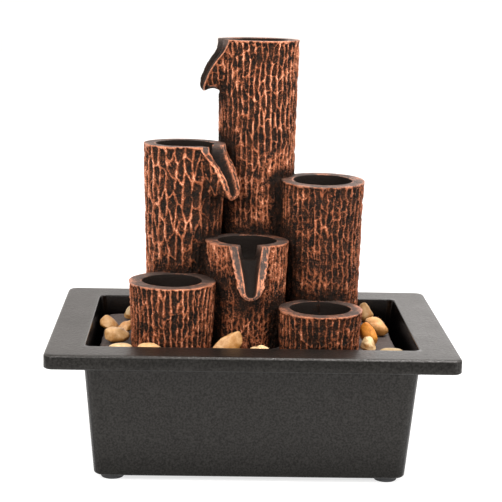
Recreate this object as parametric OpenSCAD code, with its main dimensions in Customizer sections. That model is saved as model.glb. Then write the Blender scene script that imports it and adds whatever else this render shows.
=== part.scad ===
// Tabletop water fountain: a plastic basin on four rubber feet, and a cast resin
// sculpture of six log-shaped cups that stands in it on a deck with four legs.
// A submersible pump on the basin floor feeds the tallest log through a hose.
// Millimetres. +Z is up, the front faces -Y, and the origin is on the surface
// that the feet stand on, under the middle of the basin.

/* [Basin] */
// Width of the rim flange, left to right
rim_w = 211.4; // [206:0.1:216]
// Depth of the rim flange, front to back
rim_d = 155; // [152:1:160]
// Height of the flange's top above the table
rim_top = 74.4; // [72:0.1:78]
// Width of the flat flange all round
flange_w = 19.7; // [18:0.1:20]
// Height of the turned-down skirt at the flange's outer edge
skirt_h = 7.5; // [5:0.1:10]
// Wall thickness of the basin
basin_wall = 1.8; // [1.5:0.1:2.2]
// How far each side wall leans in per millimetre of height
wall_draft = 0.083; // [0.06:0.001:0.09]
// Radius of the flange's outer corners
rim_corner_r = 5; // [2:0.5:10]
// Width of the notch for the pump's cord in the rear rim
cord_notch_w = 8; // [5:0.5:12]

/* [Feet] */
// Radius of each round rubber foot
foot_r = 6.3; // [4:0.1:6.5]
// Height of each foot
foot_h = 3.2; // [2:0.1:4]

/* [Deck] */
// Width of the resin deck that the logs stand on
deck_w = 160; // [150:1:162]
// Depth of the deck
deck_d = 104; // [100:1:106]
// Thickness of the deck
deck_t = 6; // [4:0.5:7]
// How far the deck's top lies below the rim
deck_drop = 8.5; // [6:0.5:12]
// Radius of each deck leg
leg_r = 5.5; // [4:0.5:7]

/* [Logs] */
// Radius of the cup in the top of a log
cup_r = 16.2; // [14:0.1:16.5]
// Depth of each cup
cup_depth = 13; // [10:0.5:14]
// Thickness of each cup's floor
cup_floor = 5; // [4:0.5:6]
// Radius of the hollow core below each cup
core_r = 15.5; // [12:0.5:16]
// Height of the tallest log above the deck
tall_h = 161; // [155:1:170]
// Height of the upper left log above the deck
upper_left_h = 105.6; // [100:0.1:110]
// Height of the right log above the deck
right_h = 86.9; // [82:0.1:92]
// Height of the centre log above the deck
centre_h = 56.4; // [50:0.1:60]
// Height of the left front log above the deck
left_front_h = 37.4; // [32:0.1:40]
// Height of the right front log above the deck
right_front_h = 23.5; // [21:0.1:26]

/* [Spouts] */
// Distance from a log's axis to its spout's tip
spout_reach = 34.5; // [30:0.5:36]
// The same distance on the tall log
tall_spout_reach = 32.2; // [30:0.1:36]
// How far the tips of the two upper spouts hang below their rims
upper_spout_drop = 28.8; // [24:0.1:30]
// How far the tip of the centre log's spout hangs below its rim
centre_spout_drop = 27; // [24:0.1:30]
// Width of the spout where it leaves the rim
spout_top_w = 22; // [18:0.5:24]
// Width of the spout just above its rounded tip
spout_tip_w = 12; // [9:0.5:14]
// Radius of the water channel at the rim
channel_top_r = 6; // [4:0.1:6.5]
// Radius of the water channel at the tip
channel_tip_r = 3.2; // [2.5:0.1:4]

/* [Pump] */
// Length of the motor housing along the rotor
motor_l = 30; // [28:1:34]
// Width of the pump, front to back
pump_w = 32; // [31:1:34]
// Height of the motor housing
pump_h = 35; // [34:1:37]
// Radius of the rotor's magnet
magnet_r = 6.4; // [6:0.1:6.6]
// Radius of the fixed ceramic shaft
shaft_r = 1; // [0.8:0.1:1.2]
// Outer radius of the outlet nozzle
nozzle_r = 4; // [3.5:0.1:4.5]
// Outer radius of the supply hose
hose_r = 6; // [5.5:0.1:6.4]

/* [Hidden] */

$fn = 64;
hull_fn = 32;        // roundness of the shapes inside a hull
eps = 0.01;          // how far a cutter runs past the face it cuts
run_gap = 0.05;      // radial clearance of a running or slip fit

resin_col = [0.36, 0.20, 0.14];
deck_col = [0.30, 0.26, 0.24];
plastic_col = [0.13, 0.13, 0.13];
rubber_col = [0.07, 0.07, 0.07];

// Basin: the outer walls meet the rim's plane at body_w by body_d
body_w = rim_w - 2 * flange_w + 2 * basin_wall;
body_d = rim_d - 2 * flange_w + 2 * basin_wall;
flange_t = 2.2;
basin_base = foot_h;
basin_floor_t = 2;
floor_top = basin_base + basin_floor_t;
wall_h = rim_top - basin_base;
base_w = body_w - 2 * wall_draft * wall_h;
base_d = body_d - 2 * wall_draft * wall_h;
body_corner_r = 6;
base_edge_r = 1.5;
notch_x = 30;

foot_x = base_w / 2 - foot_r - 3.2;
foot_y = base_d / 2 - foot_r - 3.5;

// Deck: its middle lies a little in front of the basin's and to the left of it
deck_top = rim_top - deck_drop;
deck_x = -1.2;
deck_y = -2;
deck_corner_r = 6;
leg_x = deck_w / 2 - 12;
leg_y = deck_d / 2 - 12;
hose_hole_r = 7.5;

// Logs, tallest first: x, y, height above the deck, radius at the rim and on the
// deck, the way its spout points in degrees from +X, how far the spout's tip hangs
// below the rim, and its distance from the axis. The last three are undef where a
// log has no spout.
// The water falls from each spout into the next cup.
LOGS = [[2.5, 28, tall_h, 22.3, 20.9, 192, upper_spout_drop, tall_spout_reach],
        [-37.2, 9, upper_left_h, 22.5, 19.5, -38, upper_spout_drop, spout_reach],
        [38.3, 9, right_h, 23, 21, undef, undef, undef],
        [-3, -11, centre_h, 22.6, 20.9, -87, centre_spout_drop, spout_reach],
        [-42.4, -30, left_front_h, 23.2, 21.4, undef, undef, undef],
        [36.1, -30, right_front_h, 22.5, 21.1, undef, undef, undef]];
tall = 0;
upper_left = 1;
right = 2;
centre = 3;
left_front = 4;
right_front = 5;
tall_x = LOGS[tall][0];
tall_y = LOGS[tall][1];
cup_base_r = cup_r - 1;     // the cups narrow a little towards their floors
min_core_h = 3;             // a core lower than this is left solid
channel_start = 3;          // the channel's axis crosses the log's face this far below the rim
channel_run = 10;           // the channel cutter starts this far above that crossing
spout_root_r = 22.3;        // distance of a spout's face from the log's axis at the rim

// Outlet: the nipple goes through the tall cup's floor
cup_bottom = deck_top + tall_h - cup_depth;
nipple_r = nozzle_r + run_gap;
nipple_bore_r = 2.75;
nipple_flange_r = 7;
nipple_flange_t = 1.5;
nipple_tail = 12;

// Pump: the rotor's axis runs along X, through the nozzle's own axis
cup_foot_h = 5;
pump_base = floor_top + cup_foot_h;
axis_z = pump_base + 15.3;
pump_wall = 2;
volute_l = 15;
motor_x = tall_x + 7.5;          // the joint face between volute and motor
volute_x = motor_x - volute_l;   // the volute's front face
well_r = magnet_r + 0.8;
well_wall = 1.2;
well_l = motor_l - 6;
chamber_r = 11;
chamber_l = volute_l - 2;
volute_h = 30.6;
nozzle_top = deck_top - deck_t - 3.5;
nozzle_bore_r = 2.75;
sleeve_r = 2.2;
blade_r = 8;
blade_t = 1.4;
blades = 6;
seal_r = 13.4;                   // middle of the seal ring
seal_wire_r = 0.9;
bush_r = 2.8;
bush_seat_l = 1.5;
intake_l = 11;
intake_wall = 1.6;
intake_x = volute_x - intake_l;  // the intake cover's front face
lip_l = 3;
lip_gap = 0.15;
inlet_r = 2.2;
inlet_pitch_r = 6;
dial_r = 7.5;
dial_t = 1.6;
dial_hole_r = 1.8;
dial_pitch_r = 4.8;
dial_pin_r = 1.5;
hose_foot = nozzle_top - 10;     // the hose covers the nozzle's top 10 mm
gland_l = 8;
gland_r = 4;
gland_bore_r = 2;

// ---- shapes used more than once ----

// A rectangle with round corners, centred on the origin
module round_rect(w, d, r) {
    square([w - 2 * r, d], center = true);
    square([w, d - 2 * r], center = true);
    for (sx = [-1, 1], sy = [-1, 1]) {
        translate([sx * (w / 2 - r), sy * (d / 2 - r)]) circle(r = r);
    }
}

// A thin plate with round corners, used at the ends of a hull
module round_plate(w, d, r, z) {
    translate([0, 0, z]) linear_extrude(height = eps) round_rect(w, d, r, $fn = hull_fn);
}

// The basin's tapered body, shrunk by inset, from z = low to z = high
module basin_body(inset, low, high) {
    low_w = body_w - 2 * wall_draft * (rim_top - low) - 2 * inset;
    low_d = body_d - 2 * wall_draft * (rim_top - low) - 2 * inset;
    hull() {
        round_plate(body_w - 2 * inset, body_d - 2 * inset, body_corner_r - inset, high - eps);
        round_plate(low_w, low_d, body_corner_r - inset, low + base_edge_r);
        round_plate(low_w - 0.6 * base_edge_r, low_d - 0.6 * base_edge_r,
                    body_corner_r - inset, low + 0.3 * base_edge_r);
        round_plate(low_w - 2 * base_edge_r, low_d - 2 * base_edge_r,
                    body_corner_r - inset, low);
    }
}

// A cylinder along +X from x0 to x1 on the rotor's axis
module on_axis(x0, x1, r) {
    translate([x0, tall_y, axis_z]) rotate([0, 90, 0]) cylinder(h = x1 - x0, r = r);
}

// A block centred on the pump's middle plane in Y
module pump_block(x0, x1, w, z0, z1) {
    translate([x0, tall_y - w / 2, z0]) cube([x1 - x0, w, z1 - z0]);
}

// One log's plain outside, standing on the deck
module log_blank(i) {
    translate([LOGS[i][0], LOGS[i][1], deck_top])
        cylinder(h = LOGS[i][2], r1 = LOGS[i][4], r2 = LOGS[i][3]);
}

// A spout's solid beak in its own frame: +X points outwards, z = 0 is the rim
module beak(drop, reach) {
    side = [[cup_r + 1, 0], [spout_root_r + 0.4, 0], [spout_root_r + 0.9, -5],
            [reach - 3.5, -0.55 * drop], [reach - 0.6, -0.8 * drop],
            [reach, -0.92 * drop], [reach - 2, -drop],
            [spout_root_r + 4, -drop + 0.5], [cup_r + 1, -drop + 0.5]];
    tip_r = spout_tip_w / 2;
    intersection() {
        rotate([90, 0, 0]) linear_extrude(height = spout_top_w, center = true) polygon(side);
        rotate([90, 0, 90]) linear_extrude(height = reach + 5) {
            polygon([[-spout_top_w / 2, 0], [spout_top_w / 2, 0],
                     [tip_r, tip_r - drop], [-tip_r, tip_r - drop]]);
            translate([0, tip_r - drop]) circle(r = tip_r);
        }
    }
}

// The cutter for a spout's channel, in the same frame as the beak
module channel(drop, reach) {
    fall = atan2(drop - channel_start - 3, reach - spout_root_r);
    run = channel_run + drop + 8;
    translate([spout_root_r, 0, -channel_start]) rotate([0, 90 + fall, 0])
        translate([0, 0, -channel_run])
            cylinder(h = run, r1 = channel_top_r + 1, r2 = channel_tip_r - 0.4);
}

// One log: bark cylinder and spout, less its cup, its core and the taller logs beside it
module log_casting(i) {
    x = LOGS[i][0];
    y = LOGS[i][1];
    h = LOGS[i][2];
    aim = LOGS[i][5];
    drop = LOGS[i][6];
    reach = LOGS[i][7];
    core_h = h - cup_depth - cup_floor;
    color(resin_col) difference() {
        union() {
            log_blank(i);
            if (aim != undef) {
                translate([x, y, deck_top + h]) rotate([0, 0, aim]) beak(drop, reach);
            }
        }
        translate([x, y, deck_top + h - cup_depth])
            cylinder(h = cup_depth + eps, r1 = cup_base_r, r2 = cup_r);
        if (core_h > min_core_h) {
            translate([x, y, deck_top - eps]) cylinder(h = core_h + eps, r = core_r);
        }
        if (aim != undef) {
            translate([x, y, deck_top + h]) rotate([0, 0, aim]) channel(drop, reach);
        }
        if (i == tall) {
            translate([x, y, cup_bottom - cup_floor - eps])
                cylinder(h = cup_floor + 2 * eps, r = nipple_r);
        }
        if (i > 0) {
            for (j = [0:i - 1]) {
                log_blank(j);
            }
        }
    }
}

// One river pebble lying on the deck: size is its width, depth and height
module pebble(x, y, size, turn, col) {
    color(col) translate([x, y, deck_top + size[2] / 2]) rotate([0, 0, turn])
        scale(size / 2) sphere(r = 1, $fn = 16);
}

cream = [0.87, 0.78, 0.62];
tan_col = [0.76, 0.62, 0.45];
amber = [0.82, 0.56, 0.30];

// ---- basin and feet ----

module basin() {
    color(plastic_col) difference() {
        union() {
            basin_body(0, basin_base, rim_top);
            translate([0, 0, rim_top - flange_t]) linear_extrude(height = flange_t)
                round_rect(rim_w, rim_d, rim_corner_r);
            translate([0, 0, rim_top - skirt_h]) linear_extrude(height = skirt_h) difference() {
                round_rect(rim_w, rim_d, rim_corner_r);
                round_rect(rim_w - 2 * basin_wall, rim_d - 2 * basin_wall,
                           rim_corner_r - basin_wall);
            }
        }
        basin_body(basin_wall, floor_top, rim_top + 1);
        translate([notch_x - cord_notch_w / 2, body_d / 2 - 8, rim_top - skirt_h])
            cube([cord_notch_w, rim_d / 2, skirt_h + 1]);
    }
}

module foot(sx, sy) {
    color(rubber_col) translate([sx * foot_x, sy * foot_y, 0]) {
        cylinder(h = foot_h - 1, r1 = foot_r - 0.4, r2 = foot_r);
        translate([0, 0, foot_h - 1]) cylinder(h = 1, r = foot_r);
    }
}

// ---- sculpture ----

module deck() {
    color(deck_col) difference() {
        union() {
            translate([deck_x, deck_y, deck_top - deck_t]) linear_extrude(height = deck_t)
                round_rect(deck_w, deck_d, deck_corner_r);
            for (sx = [-1, 1], sy = [-1, 1]) {
                translate([deck_x + sx * leg_x, deck_y + sy * leg_y, floor_top])
                    cylinder(h = deck_top - deck_t - floor_top, r1 = leg_r - 1, r2 = leg_r);
            }
        }
        translate([tall_x, tall_y, deck_top - deck_t - eps])
            cylinder(h = deck_t + 2 * eps, r = hose_hole_r);
        translate([notch_x - cord_notch_w / 2, deck_y + deck_d / 2 - 5, deck_top - deck_t - 1])
            cube([cord_notch_w, 10, deck_t + 2]);
    }
}

module tall_log() {
    log_casting(tall);
}

module upper_left_log() {
    log_casting(upper_left);
}

module right_log() {
    log_casting(right);
}

module centre_log() {
    log_casting(centre);
}

module left_front_log() {
    log_casting(left_front);
}

module right_front_log() {
    log_casting(right_front);
}

module pebbles_left() {
    pebble(-77.6, 7.5, [10.6, 9, 8.8], 15, tan_col);
    pebble(-71.9, -18, [14, 10, 8.4], -8, amber);
    pebble(-68.4, 1.5, [10.4, 8, 7.4], 0, cream);
    pebble(-66.5, 36, [9, 8, 8.6], 20, tan_col);
    pebble(-68.9, -49, [15, 8, 7.4], 0, cream);
    pebble(-53.2, -53.2, [14.6, 6.4, 9.1], 0, cream);
}

module pebbles_middle() {
    color(tan_col) hull() {
        translate([-18.2, -43, deck_top + 3.2]) sphere(r = 3.2, $fn = 16);
        translate([-8, -44, deck_top + 3]) sphere(r = 3, $fn = 16);
        translate([-9.5, -43, deck_top + 11]) sphere(r = 2.8, $fn = 16);
    }
    pebble(4, -49.5, [10.4, 8, 7.8], 0, cream);
}

module pebbles_right() {
    pebble(67.9, 38, [9.2, 8, 11], 0, tan_col);
    pebble(70.6, 5, [13.3, 9, 11], -12, cream);
    pebble(63.5, -19, [9.9, 8, 13.8], 8, amber);
    pebble(62.1, -31.4, [8.4, 8, 8.6], 0, cream);
    pebble(72.6, -49.5, [14, 8, 7.4], 5, tan_col);
}

// Pebbles behind the logs
module pebbles_rear() {
    pebble(-42, 42, [12, 9, 8], 25, cream);
    pebble(-27, 41, [9, 8, 7], -10, amber);
    pebble(36, 41, [11, 8, 8], -20, tan_col);
    pebble(48, 39, [9, 9, 7], 40, cream);
}

module supply_hose() {
    color([0.75, 0.78, 0.78]) translate([tall_x, tall_y, hose_foot]) difference() {
        cylinder(h = cup_bottom - cup_floor - hose_foot, r = hose_r);
        translate([0, 0, -eps])
            cylinder(h = cup_bottom - cup_floor - hose_foot + 2 * eps, r = nipple_r);
    }
}

module outlet_nipple() {
    tail_low = cup_bottom - cup_floor - nipple_tail;
    color(plastic_col) translate([tall_x, tall_y, 0]) difference() {
        union() {
            translate([0, 0, tail_low])
                cylinder(h = cup_bottom + nipple_flange_t - tail_low, r = nipple_r);
            translate([0, 0, cup_bottom]) cylinder(h = nipple_flange_t, r = nipple_flange_r);
        }
        translate([0, 0, tail_low - eps])
            cylinder(h = nipple_tail + cup_floor + nipple_flange_t + 2 * eps, r = nipple_bore_r);
    }
}

// ---- pump: motor ----

well_end = motor_x + well_l;
motor_end = motor_x + motor_l;
cavity_x = motor_x + pump_wall;
pump_top = pump_base + pump_h;
arm_in = well_r + well_wall + 0.1;
arm_out = arm_in + 3.5;
core_x0 = motor_x + 7;
core_x1 = motor_x + 20;
yoke_z0 = pump_top - 8;
yoke_z1 = pump_top - 4.5;

module pump_housing() {
    color(plastic_col) difference() {
        on_axis(well_end - bush_seat_l, well_end + eps, bush_r + well_wall);
        on_axis(well_end - bush_seat_l - eps, well_end, bush_r);
    }
    color(plastic_col) difference() {
        pump_block(motor_x, motor_end, pump_w, pump_base, pump_top);
        difference() {
            pump_block(cavity_x, motor_end + eps, pump_w - 2 * pump_wall,
                       pump_base + pump_wall, pump_top - pump_wall);
            on_axis(motor_x, well_end + well_wall, well_r + well_wall);
        }
        on_axis(motor_x - eps, well_end, well_r);
    }
}

module core_shape() {
    difference() {
        pump_block(core_x0, core_x1, 2 * arm_out, axis_z - 7, yoke_z1);
        pump_block(core_x0 - eps, core_x1 + eps, 2 * arm_in, axis_z - 7 - eps, yoke_z0);
    }
}

module coil_shape() {
    difference() {
        pump_block(core_x0 - 3, core_x1 + 3, 2 * arm_in - 1, yoke_z0 - 1, pump_top - 3);
        pump_block(core_x0, core_x1, 2 * arm_in, yoke_z0, yoke_z1);
        on_axis(motor_x, well_end + well_wall, well_r + well_wall);
    }
}

module stator_core() {
    color([0.55, 0.56, 0.58]) core_shape();
}

module stator_coil() {
    color([0.72, 0.38, 0.16]) coil_shape();
}

module potting() {
    color([0.10, 0.10, 0.11]) difference() {
        pump_block(cavity_x, motor_end, pump_w - 2 * pump_wall,
                   pump_base + pump_wall, pump_top - pump_wall);
        on_axis(motor_x, well_end + well_wall, well_r + well_wall);
        core_shape();
        coil_shape();
    }
}

module cable_gland() {
    color(rubber_col) translate([motor_end, tall_y, pump_top - 8]) rotate([0, 90, 0]) difference() {
        union() {
            cylinder(h = 2, r = gland_r + 1.5);
            translate([0, 0, 2]) cylinder(h = gland_l - 2, r1 = gland_r, r2 = gland_r - 1);
        }
        cylinder(h = gland_l + eps, r = gland_bore_r);
    }
}

module suction_cups() {
    color(rubber_col) for (x = [motor_x + 4.6, motor_end - 4.6], sy = [-1, 1]) {
        translate([x, tall_y + sy * 10, floor_top]) difference() {
            union() {
                cylinder(h = 2.5, r1 = 4.4, r2 = 2.2);
                cylinder(h = cup_foot_h, r = 2);
            }
            translate([0, 0, -eps]) cylinder(h = 1.2, r1 = 3.8, r2 = 0.8);
        }
    }
}

// ---- pump: rotor ----

magnet_x0 = motor_x + 1.5;
magnet_x1 = well_end - 4;
rotor_end = magnet_x1 + 0.5;
hub_x0 = volute_x + 4.2;

module rotor_magnet() {
    color([0.18, 0.18, 0.19]) difference() {
        on_axis(magnet_x0, magnet_x1, magnet_r);
        on_axis(magnet_x0 - eps, magnet_x1 + eps, sleeve_r);
    }
}

module impeller() {
    color([0.85, 0.85, 0.82]) difference() {
        union() {
            on_axis(hub_x0, rotor_end, sleeve_r);
            on_axis(motor_x - 1, magnet_x0, magnet_r);
            for (k = [0:blades - 1]) {
                translate([hub_x0, tall_y, axis_z]) rotate([k * 360 / blades, 0, 0])
                    translate([0, -blade_t / 2, 0]) cube([motor_x - 0.8 - hub_x0, blade_t, blade_r]);
            }
        }
        on_axis(hub_x0 - eps, rotor_end + eps, shaft_r + run_gap);
    }
}

module rotor_shaft() {
    color([0.93, 0.93, 0.90]) on_axis(volute_x, well_end - 0.5, shaft_r);
}

module bush(x0, x1) {
    color(rubber_col) difference() {
        on_axis(x0, x1, bush_r);
        on_axis(x0 - eps, x1 + eps, shaft_r);
    }
}

module rear_bush() {
    bush(well_end - 2.5, well_end);
}

module front_bush() {
    bush(volute_x, volute_x + 3);
}

// ---- pump: wet end ----

module volute_cover() {
    lip_w = pump_w - 1 - 2 * intake_wall - 2 * lip_gap;
    lip_low = pump_base + intake_wall + lip_gap;
    lip_high = pump_base + volute_h - intake_wall - lip_gap;
    color(plastic_col) difference() {
        union() {
            pump_block(volute_x, motor_x, pump_w - 1, pump_base, pump_base + volute_h);
            difference() {
                pump_block(volute_x - lip_l, volute_x, lip_w, lip_low, lip_high);
                pump_block(volute_x - lip_l - eps, volute_x + eps, lip_w - 3,
                           lip_low + 1.5, lip_high - 1.5);
            }
            translate([tall_x, tall_y, axis_z + chamber_r - 2])
                cylinder(h = nozzle_top - axis_z - chamber_r + 2, r = nozzle_r);
        }
        on_axis(motor_x - chamber_l, motor_x + eps, chamber_r);
        on_axis(volute_x - eps, motor_x, bush_r);
        for (k = [0:3]) {
            translate([0, inlet_pitch_r * cos(45 + 90 * k), inlet_pitch_r * sin(45 + 90 * k)])
                on_axis(volute_x - eps, motor_x, inlet_r);
        }
        translate([tall_x, tall_y, axis_z]) cylinder(h = nozzle_top - axis_z + eps, r = nozzle_bore_r);
        translate([motor_x, tall_y, axis_z]) rotate([0, 90, 0]) rotate_extrude()
            translate([seal_r, -seal_wire_r]) circle(r = seal_wire_r);
        translate([motor_x - seal_wire_r, tall_y, axis_z]) rotate([0, 90, 0]) difference() {
            cylinder(h = 2 * seal_wire_r, r = seal_r + seal_wire_r);
            translate([0, 0, -eps]) cylinder(h = 3 * seal_wire_r, r = seal_r - seal_wire_r);
        }
    }
}

module seal_ring() {
    color([0.75, 0.30, 0.12]) translate([motor_x - seal_wire_r, tall_y, axis_z])
        rotate([0, 90, 0]) rotate_extrude() translate([seal_r, 0]) circle(r = seal_wire_r);
}

module intake_cover() {
    slot_w = 1.6;
    color([0.20, 0.20, 0.21]) difference() {
        pump_block(intake_x, volute_x, pump_w - 1, pump_base, pump_base + volute_h);
        pump_block(intake_x + intake_wall, volute_x + eps, pump_w - 1 - 2 * intake_wall,
                   pump_base + intake_wall, pump_base + volute_h - intake_wall);
        on_axis(intake_x - eps, intake_x + intake_wall + eps, dial_pin_r + run_gap);
        for (k = [0:3]) {
            translate([0, dial_pitch_r * cos(90 * k), dial_pitch_r * sin(90 * k)])
                on_axis(intake_x - eps, intake_x + intake_wall + eps, dial_hole_r);
        }
        for (sy = [-1, 1], k = [0:1]) {
            translate([intake_x - eps, tall_y + sy * (9.6 + 3 * k) - slot_w / 2, pump_base + 6])
                cube([intake_wall + 2 * eps, slot_w, volute_h - 12]);
        }
    }
}

module flow_dial() {
    face = intake_x - 0.1;
    color([0.35, 0.36, 0.38]) difference() {
        union() {
            on_axis(face - dial_t, face, dial_r);
            on_axis(face - eps, intake_x + intake_wall + 0.2, dial_pin_r);
            on_axis(intake_x + intake_wall + 0.1, intake_x + intake_wall + 1.2, dial_pin_r + 0.6);
            translate([face - dial_t - 2, tall_y - 0.8, axis_z - 2]) cube([2 + eps, 1.6, dial_r + 1]);
        }
        for (k = [0:3]) {
            translate([0, dial_pitch_r * cos(90 * k), dial_pitch_r * sin(90 * k)])
                on_axis(face - dial_t - 3, face + eps, dial_hole_r);
        }
    }
}

basin();
foot(-1, -1);  // foot_front_left
foot(1, -1);  // foot_front_right
foot(-1, 1);  // foot_rear_left
foot(1, 1);  // foot_rear_right
deck();
tall_log();
upper_left_log();
right_log();
centre_log();
left_front_log();
right_front_log();
pebbles_left();
pebbles_middle();
pebbles_right();
pebbles_rear();
supply_hose();
outlet_nipple();
pump_housing();
stator_core();
stator_coil();
potting();
rotor_magnet();
impeller();
rotor_shaft();
rear_bush();
front_bush();
volute_cover();
seal_ring();
intake_cover();
flow_dial();
suction_cups();
cable_gland();
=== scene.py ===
"""Looks for the tabletop water fountain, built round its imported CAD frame.

Lengths are millimetres until a mesh is made, and metres in Blender.
"""
import math

import bmesh
import bpy
import numpy as np
from mathutils import Matrix, Vector


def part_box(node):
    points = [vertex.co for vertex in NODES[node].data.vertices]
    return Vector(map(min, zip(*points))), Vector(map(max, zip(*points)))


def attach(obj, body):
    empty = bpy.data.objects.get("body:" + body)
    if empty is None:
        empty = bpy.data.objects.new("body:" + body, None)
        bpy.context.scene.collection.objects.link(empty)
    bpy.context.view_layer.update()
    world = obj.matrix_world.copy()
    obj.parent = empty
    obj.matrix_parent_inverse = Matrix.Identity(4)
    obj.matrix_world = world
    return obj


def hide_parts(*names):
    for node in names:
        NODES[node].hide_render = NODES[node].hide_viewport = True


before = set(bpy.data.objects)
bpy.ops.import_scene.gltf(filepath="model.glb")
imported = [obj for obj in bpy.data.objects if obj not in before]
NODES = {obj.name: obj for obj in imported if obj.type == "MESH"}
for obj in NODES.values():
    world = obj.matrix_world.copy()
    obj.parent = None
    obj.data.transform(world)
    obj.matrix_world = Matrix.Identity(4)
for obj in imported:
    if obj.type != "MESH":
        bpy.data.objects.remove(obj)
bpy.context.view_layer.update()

MM = 0.001
PATTERN_R = 21.5                      # the bark pattern is drawn round a log of this radius
AROUND = 2 * np.pi * PATTERN_R


# ---------------- small maths

def box_mm(node):
    """A CAD node's lowest and highest corners, in millimetres."""
    low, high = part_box(node)
    return np.array(low) / MM, np.array(high) / MM


def smoothstep(edge0, edge1, value):
    """0 below edge0, 1 above edge1, and smooth between."""
    t = np.clip((value - edge0) / (edge1 - edge0), 0.0, 1.0)
    return t * t * (3 - 2 * t)


def curve(value, knots):
    """A curve through (x, y) knots, straight between them."""
    xs, ys = zip(*knots)
    return np.interp(value, xs, ys)


def wave_noise(seed, x, z, round_waves, shortest, waves=14, period=AROUND):
    """Smooth noise of about -1 to 1 that repeats every period in x.

    round_waves is the most waves in a period, and shortest the least wavelength in z.
    """
    rng = np.random.default_rng(seed)
    total = np.zeros(np.broadcast(x, z).shape)
    for _ in range(waves):
        turns = int(rng.integers(-round_waves, round_waves + 1))
        per_mm = rng.uniform(-1, 1) / shortest
        phase = rng.uniform(0, 2 * np.pi)
        total = total + np.sin(2 * np.pi * (turns * x / period + per_mm * z) + phase)
    return total / math.sqrt(waves)


def cell_edges(seed, x, z, cell_w, cell_h, jitter=0.36, blend=0.3, straight=1.0, faint=0.0):
    """Distance in mm to the nearest edge between long upright cells that go round a log.

    straight above 1 makes their upright sides run straighter, and faint is how much
    farther off the level edges seem.
    """
    rng = np.random.default_rng(seed)
    columns = int(round(AROUND / cell_w))
    width = AROUND / columns
    rows = int(np.ptp(z) / cell_h) + 12
    base = z.min() - 5 * cell_h
    shift = rng.uniform(0, 1, columns)
    jx = rng.uniform(-jitter, jitter, (columns, rows)) * 0.72
    jz = rng.uniform(-jitter, jitter, (columns, rows))
    metric_h = cell_h * straight
    flat_x, flat_z = np.mod(x, AROUND).ravel(), z.ravel()
    column = np.floor(flat_x / width).astype(int)
    found = []
    for dc in (-2, -1, 0, 1, 2):
        c = column + dc
        cm = np.mod(c, columns)
        r0 = np.floor((flat_z - base) / cell_h - shift[cm]).astype(int)
        for dr in (-2, -1, 0, 1, 2):
            r = np.clip(r0 + dr, 0, rows - 1)
            sx = (c + 0.5 + jx[cm, r]) * width
            sz = base + (r + 0.5 + shift[cm] + jz[cm, r]) * cell_h
            found.append((sx, sz, c, ((flat_x - sx) / width) ** 2 + ((flat_z - sz) / metric_h) ** 2))
    seeds_x, seeds_z, columns_at, near = map(np.array, zip(*found))
    first = near.argmin(0)
    pick = np.arange(first.size)
    ax, az, best = seeds_x[first, pick], seeds_z[first, pick], near[first, pick]
    slope = 2 * np.hypot((seeds_x - ax) / width ** 2, (seeds_z - az) / metric_h ** 2)
    gap = (near - best) / np.maximum(slope, 1e-9) + faint * (columns_at == columns_at[first, pick])
    gap[first, pick] = 1e3
    soft = -blend * np.log(np.exp(-np.clip(gap, 0, 30) / blend).sum(0))
    return np.maximum(soft, 0).reshape(x.shape)


# ---------------- mesh making

def set_values(mesh, attributes):
    """Stores named float values, one per vertex."""
    for key, values in attributes.items():
        layer = mesh.attributes.new(key, "FLOAT", "POINT")
        layer.data.foreach_set("value", np.asarray(values, dtype=np.float32).ravel())


def smooth_faces(mesh, degrees=None):
    """Shades a mesh smoothly, but for edges sharper than this many degrees."""
    mesh.polygons.foreach_set("use_smooth", [True] * len(mesh.polygons))
    if degrees:
        mesh.set_sharp_from_angle(angle=math.radians(degrees))


def make_mesh(name, verts_mm, faces, attributes=None, smooth=True):
    """A mesh object from millimetre vertices, faces, and named float values per vertex."""
    mesh = bpy.data.meshes.new(name)
    mesh.from_pydata((np.asarray(verts_mm) * MM).tolist(), [], faces)
    mesh.update()
    set_values(mesh, attributes or {})
    if smooth:
        smooth_faces(mesh)
    obj = bpy.data.objects.new(name, mesh)
    bpy.context.scene.collection.objects.link(obj)
    return obj


def strip(row_a, row_b):
    """Quads between two rows of vertex numbers."""
    return np.stack([row_a[:-1], row_a[1:], row_b[1:], row_b[:-1]], 1).tolist()


def closed(row):
    """A row of vertex numbers that ends where it began."""
    return np.append(row, row[0])


def sheet(rows, shut=False):
    """Quads between each row of vertex numbers and the next, round to the start if shut."""
    if shut:
        rows = [closed(row) for row in rows]
    return [quad for a, b in zip(rows[:-1], rows[1:]) for quad in strip(a, b)]


def loft(loops):
    """Vertices and faces of a capped skin over closed loops that all have as many points."""
    verts = np.concatenate(loops)
    rows = np.arange(len(verts)).reshape(len(loops), -1)
    return verts, sheet(rows, True) + [rows[0][::-1].tolist(), rows[-1].tolist()]


def ring(radius, z, count, x=0.0, y=0.0):
    """A level circle of points."""
    a = np.linspace(0, 2 * np.pi, count, endpoint=False)
    return np.stack([x + radius * np.cos(a), y + radius * np.sin(a), np.full(count, z)], 1)


def round_loop(half_w, half_d, radius, z, corner=10, side=24):
    """A level rectangle of points with round corners, anticlockwise from above."""
    arc = np.linspace(0, np.pi / 2, corner + 1)
    steps = np.linspace(0, 1, side + 1)[1:-1, None]
    points, arcs = [], []
    for quarter, (sx, sy) in enumerate(((1, 1), (-1, 1), (-1, -1), (1, -1))):
        a = arc + quarter * np.pi / 2
        cx, cy = sx * (half_w - radius), sy * (half_d - radius)
        arcs.append(np.stack([cx + radius * np.cos(a), cy + radius * np.sin(a)], 1))
    for k in range(4):
        start, end = arcs[k][-1], arcs[(k + 1) % 4][0]
        points += [arcs[k], start + (end - start) * steps]
    flat = np.concatenate(points)
    return np.column_stack([flat, np.full(len(flat), z)])


def paint(mesh, material):
    mesh.materials.clear()
    mesh.materials.append(material)


def place(obj, material, body, node):
    """Hands a finished piece to its body and the CAD node it stands for."""
    paint(obj.data, material)
    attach(obj, body)
    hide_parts(node)


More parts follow.
